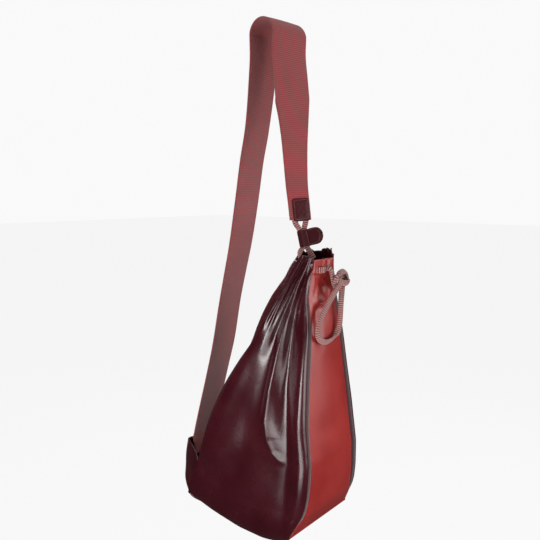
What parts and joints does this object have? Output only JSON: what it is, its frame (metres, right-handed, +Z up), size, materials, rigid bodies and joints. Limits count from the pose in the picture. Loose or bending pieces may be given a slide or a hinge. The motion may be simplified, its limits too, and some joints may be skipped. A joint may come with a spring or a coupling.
{
  "type": "drawstring shoulder bag",
  "caption": "Two-tone leather drawstring bag hanging from a wide webbing strap, with a gathered mouth, a cord slider and a tied cord loop.",
  "frame": {"origin": "the hang point: the inside of the strap's bend, where a hook, rail or shoulder carries the bag", "axes": "+Z up; +X towards the red front gusset; +Y from the near side panel to the far one"},
  "size_m": [0.2136, 0.12, 0.5958],
  "materials": {
    "burgundy_leather": "glossy smooth leather",
    "red_leather": "semi-gloss grained leather",
    "strap_webbing": "ribbed two-colour webbing",
    "braided_cord": "flat braid, two colours",
    "thread": "matt waxed thread",
    "lining_cloth": "matt cloth",
    "stiffener_board": "matt board"
  },
  "bodies": {
    "root": {"side_panel_near": "burgundy_leather", "side_panel_far": "burgundy_leather", "front_gusset": "red_leather", "back_gusset": "burgundy_leather", "base_panel": "burgundy_leather", "base_board": "stiffener_board", "lining": "lining_cloth", "mouth_facing": "lining_cloth", "shoulder_strap": "strap_webbing", "strap_end_patch_outer": "burgundy_leather", "strap_end_patch_inner": "burgundy_leather", "patch_stitching": "thread", "strap_anchor": "burgundy_leather", "drawcord_channel": "braided_cord", "drawcord_bight": "braided_cord", "drawcord_front_strip": "braided_cord"},
    "slider": {"cord_slider": "burgundy_leather", "slider_stitching": "thread"},
    "hanging_loop": {"drawcord_knot": "braided_cord", "drawcord_loop": "braided_cord"}
  },
  "joints": [
    {"name": "slider_travel", "type": "slide", "parent": "root", "child": "slider", "axis": [0.2535, 0, -0.9673], "range_m": [-0.001, 0.003]},
    {"name": "loop_swing", "type": "hinge", "parent": "root", "child": "hanging_loop", "pos_m": [0.0779, 0.024, -0.28], "axis": [0, -1, 0], "range_deg": [0, 75]}
  ]
}
